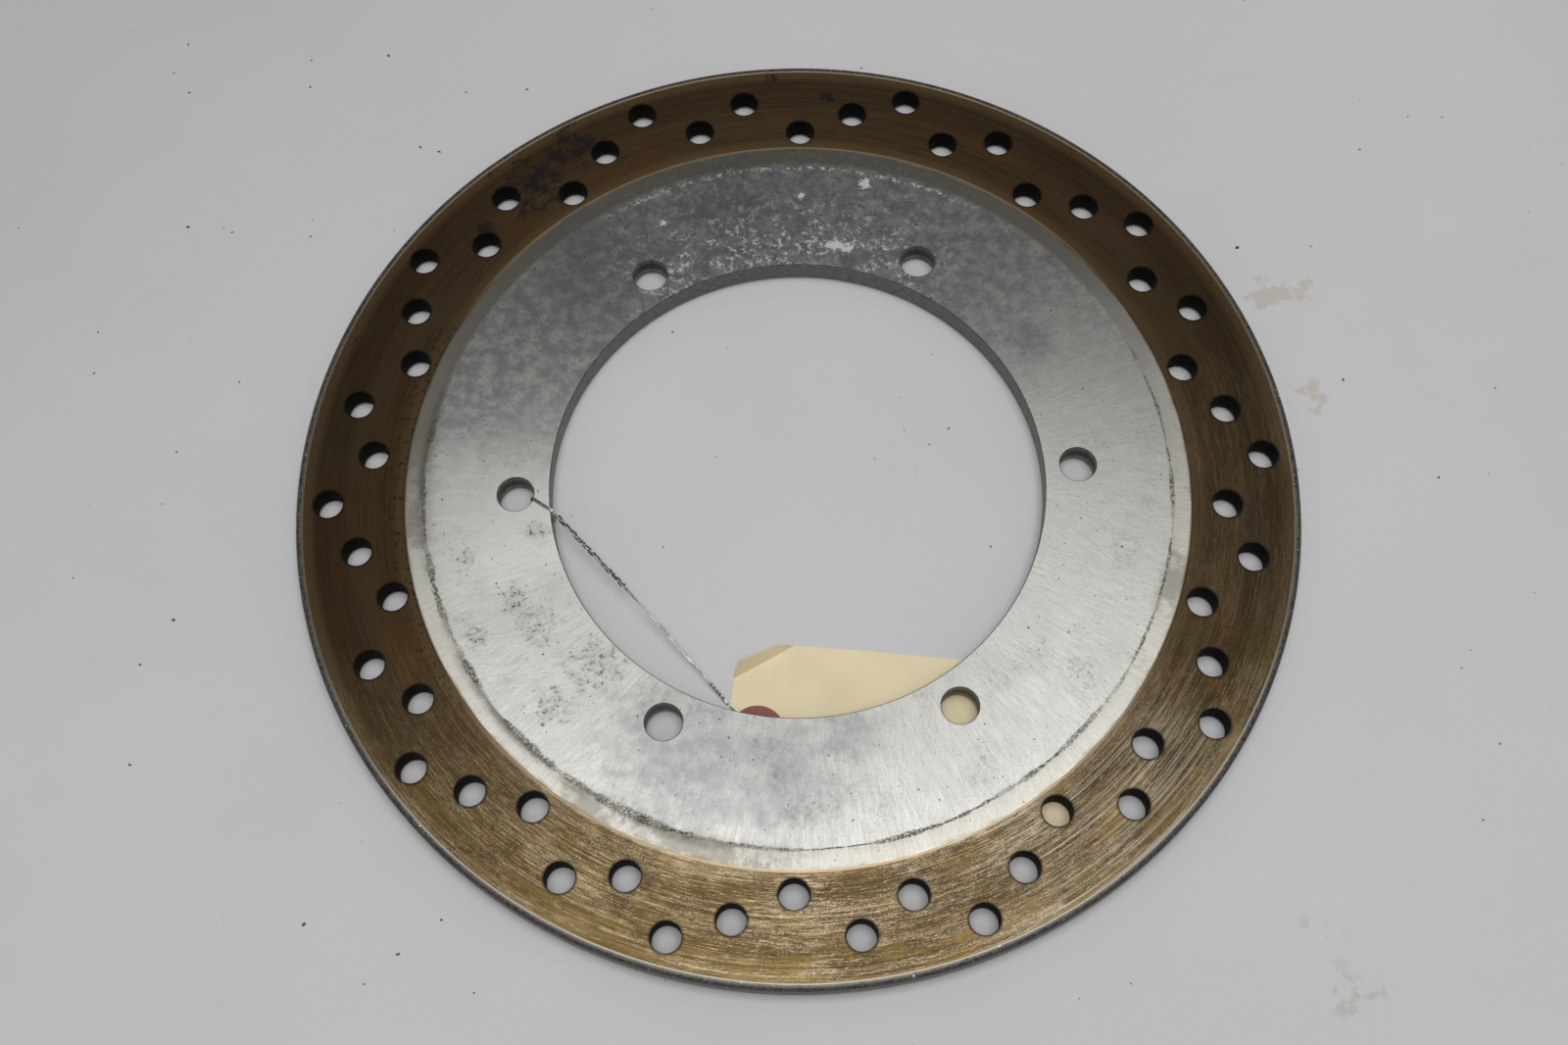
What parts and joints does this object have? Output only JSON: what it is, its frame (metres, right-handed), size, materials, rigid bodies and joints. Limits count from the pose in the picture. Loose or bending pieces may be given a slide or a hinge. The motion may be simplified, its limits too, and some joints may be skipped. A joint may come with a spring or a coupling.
{
  "type": "brake disc rotor",
  "caption": "Solid steel brake disc: flat flange with bolt holes round a large bore, drilled friction band, and a manila tag wired to one bolt hole.",
  "frame": {"origin": "centre of the disc: on its axis, half way through its thickness", "axes": "+Z along the disc's axis, out of the face that shows; +X through one bolt hole and one hole of the outermost drilled row; the wire is hitched beside the bolt hole on -X"},
  "size_m": [0.296, 0.296, 0.0093],
  "materials": {
    "disc_steel": "ground stainless flange, brown-stained and scored friction band",
    "tag_wire": "bright soft steel wire",
    "manila_card": "matte buff card",
    "fibre_patch": "matte red-brown fibre"
  },
  "bodies": {
    "rotor": {"brake_disc": "disc_steel"},
    "wire": {"wire_hitch": "tag_wire", "tag_wire": "tag_wire", "wire_eye": "tag_wire"},
    "tag": {"tag_card": "manila_card", "tag_patch_front": "fibre_patch", "tag_patch_back": "fibre_patch"}
  },
  "joints": [
    {"name": "wire_swing", "type": "hinge", "parent": "rotor", "child": "wire", "pos_m": [-0.0754, -0.0038, 0], "axis": [0, 0, 1], "range_deg": [-2, 12]},
    {"name": "tag_swivel", "type": "hinge", "parent": "wire", "child": "tag", "pos_m": [-0.0157, -0.0743, -0.0046], "axis": [0, 0, 1], "range_deg": [-45, 5]}
  ]
}
